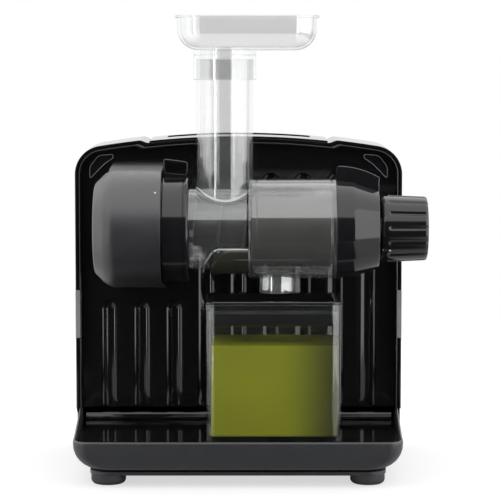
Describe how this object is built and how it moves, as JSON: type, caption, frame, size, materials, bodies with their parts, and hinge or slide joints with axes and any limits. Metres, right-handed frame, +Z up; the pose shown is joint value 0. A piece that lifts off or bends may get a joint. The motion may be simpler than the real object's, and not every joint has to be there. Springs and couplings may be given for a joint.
{
  "type": "slow juicer",
  "caption": "Horizontal auger slow juicer with a black housing, clear drum and hopper, locking ring, adjusting knob, slide-out drip tray and lidded juice container.",
  "frame": {"origin": "middle of the bounding box in plan, at the height of the feet's undersides", "axes": "+Z up, +X along the auger to the adjusting knob, +Y to the back"},
  "size_m": [0.3038, 0.2118, 0.3886],
  "materials": {
    "black_gloss": "glossy black ABS",
    "graphite_satin": "satin graphite plastic",
    "gunmetal_satin": "satin gunmetal coating",
    "dark_gloss": "glossy dark grey plastic",
    "knob_black": "glossy black plastic",
    "clear_plastic": "clear copolyester",
    "spout_clear": "frosted copolyester",
    "cup_clear": "clear copolyester",
    "auger_dark": "dark reinforced plastic",
    "screen_steel": "fine perforated steel",
    "lid_dark": "glossy dark plastic",
    "foot_rubber": "dark grey rubber",
    "seal_rubber": "black silicone",
    "seal_clear": "translucent silicone",
    "inlay_grey": "light grey soft plastic",
    "steel": "bright steel",
    "plate_steel": "zinc plated steel",
    "gear_nylon": "natural nylon",
    "brass": "turned brass",
    "copper_winding": "enamelled copper",
    "bush_white": "acetal",
    "board_green": "circuit board",
    "switch_red": "glossy red plastic"
  },
  "bodies": {
    "base": {"main_housing": "black_gloss", "left_side": "black_gloss", "right_side": "black_gloss", "housing_floor": "black_gloss", "fluted_wall": "black_gloss", "rear_cover": "black_gloss", "carry_handle": "black_gloss", "side_inlays": "inlay_grey", "corner_trims": "dark_gloss", "base_pan": "graphite_satin", "feet": "foot_rubber", "drive_housing": "gunmetal_satin", "drive_front": "dark_gloss", "gear_plate_outer": "plate_steel", "gear_plate_inner": "plate_steel", "shaft_bearings": "steel", "idler_axle": "steel", "motor_can": "plate_steel", "motor_stator": "copper_winding", "motor_bearings": "steel", "run_capacitor": "bush_white", "control_board": "board_green", "switch_bezel": "dark_gloss", "cord_inlet": "seal_rubber", "shaft_seal": "seal_rubber", "drum_gasket": "seal_rubber", "base_screws": "steel", "plate_screws": "steel", "cover_screws": "steel"},
    "tray": {"drip_tray": "graphite_satin", "floor_plate": "black_gloss"},
    "container": {"juice_container": "cup_clear", "container_lid": "lid_dark", "lid_seal": "seal_clear"},
    "rotor": {"motor_rotor": "steel", "motor_pinion": "brass"},
    "idler": {"idler_gear": "gear_nylon"},
    "output": {"output_shaft": "steel", "output_gear": "gear_nylon"},
    "ring": {"locking_ring": "dark_gloss"},
    "drum": {"juicing_drum": "clear_plastic", "feed_housing": "clear_plastic", "feed_chute": "clear_plastic", "juice_spout": "spout_clear", "juicing_screen": "screen_steel"},
    "auger": {"auger": "auger_dark"},
    "cap": {"end_cap": "dark_gloss", "cap_gasket": "seal_rubber", "auger_bush": "bush_white"},
    "knob": {"adjusting_knob": "knob_black", "knob_stem": "steel"},
    "hopper": {"hopper": "clear_plastic", "hopper_collar": "clear_plastic"},
    "switch": {"power_switch": "switch_red"}
  },
  "joints": [
    {"name": "output_spin", "type": "hinge", "parent": "base", "child": "output", "pos_m": [-0.0869, -0.04585, 0.21], "axis": [1, 0, 0], "continuous": true},
    {"name": "idler_spin", "type": "hinge", "parent": "base", "child": "idler", "pos_m": [-0.1019, 0.00975, 0.21], "axis": [1, 0, 0], "continuous": true},
    {"name": "motor_spin", "type": "hinge", "parent": "base", "child": "rotor", "pos_m": [-0.0669, 0.06085, 0.21], "axis": [1, 0, 0], "continuous": true},
    {"name": "ring_turn", "type": "hinge", "parent": "base", "child": "ring", "pos_m": [-0.0604, -0.04585, 0.21], "axis": [1, 0, 0], "range_deg": [0, 40]},
    {"name": "drum_slide", "type": "slide", "parent": "base", "child": "drum", "axis": [1, 0, 0], "range_m": [0, 0.11]},
    {"name": "auger_spin", "type": "hinge", "parent": "drum", "child": "auger", "pos_m": [0.0131, -0.04585, 0.21], "axis": [1, 0, 0], "continuous": true},
    {"name": "cap_turn", "type": "hinge", "parent": "drum", "child": "cap", "pos_m": [0.0906, -0.04585, 0.21], "axis": [1, 0, 0], "range_deg": [0, 40]},
    {"name": "knob_turn", "type": "hinge", "parent": "cap", "child": "knob", "pos_m": [0.1256, -0.04585, 0.21], "axis": [1, 0, 0], "range_deg": [-90, 90]},
    {"name": "hopper_lift", "type": "slide", "parent": "drum", "child": "hopper", "axis": [0, 0, 1], "range_m": [0, 0.09]},
    {"name": "tray_slide", "type": "slide", "parent": "base", "child": "tray", "axis": [0, -1, 0], "range_m": [0, 0.11]},
    {"name": "container_slide", "type": "slide", "parent": "tray", "child": "container", "axis": [1, 0, 0], "range_m": [-0.1, 0.045]},
    {"name": "switch_rock", "type": "hinge", "parent": "base", "child": "switch", "pos_m": [-0.1459, 0.06315, 0.104], "axis": [0, 1, 0], "range_deg": [-8, 8]}
  ],
  "couplings": [
    {"joint": "idler_spin", "follows": "output_spin", "ratio": -3.1111},
    {"joint": "motor_spin", "follows": "output_spin", "ratio": 14.519},
    {"joint": "auger_spin", "follows": "output_spin", "ratio": 1}
  ]
}
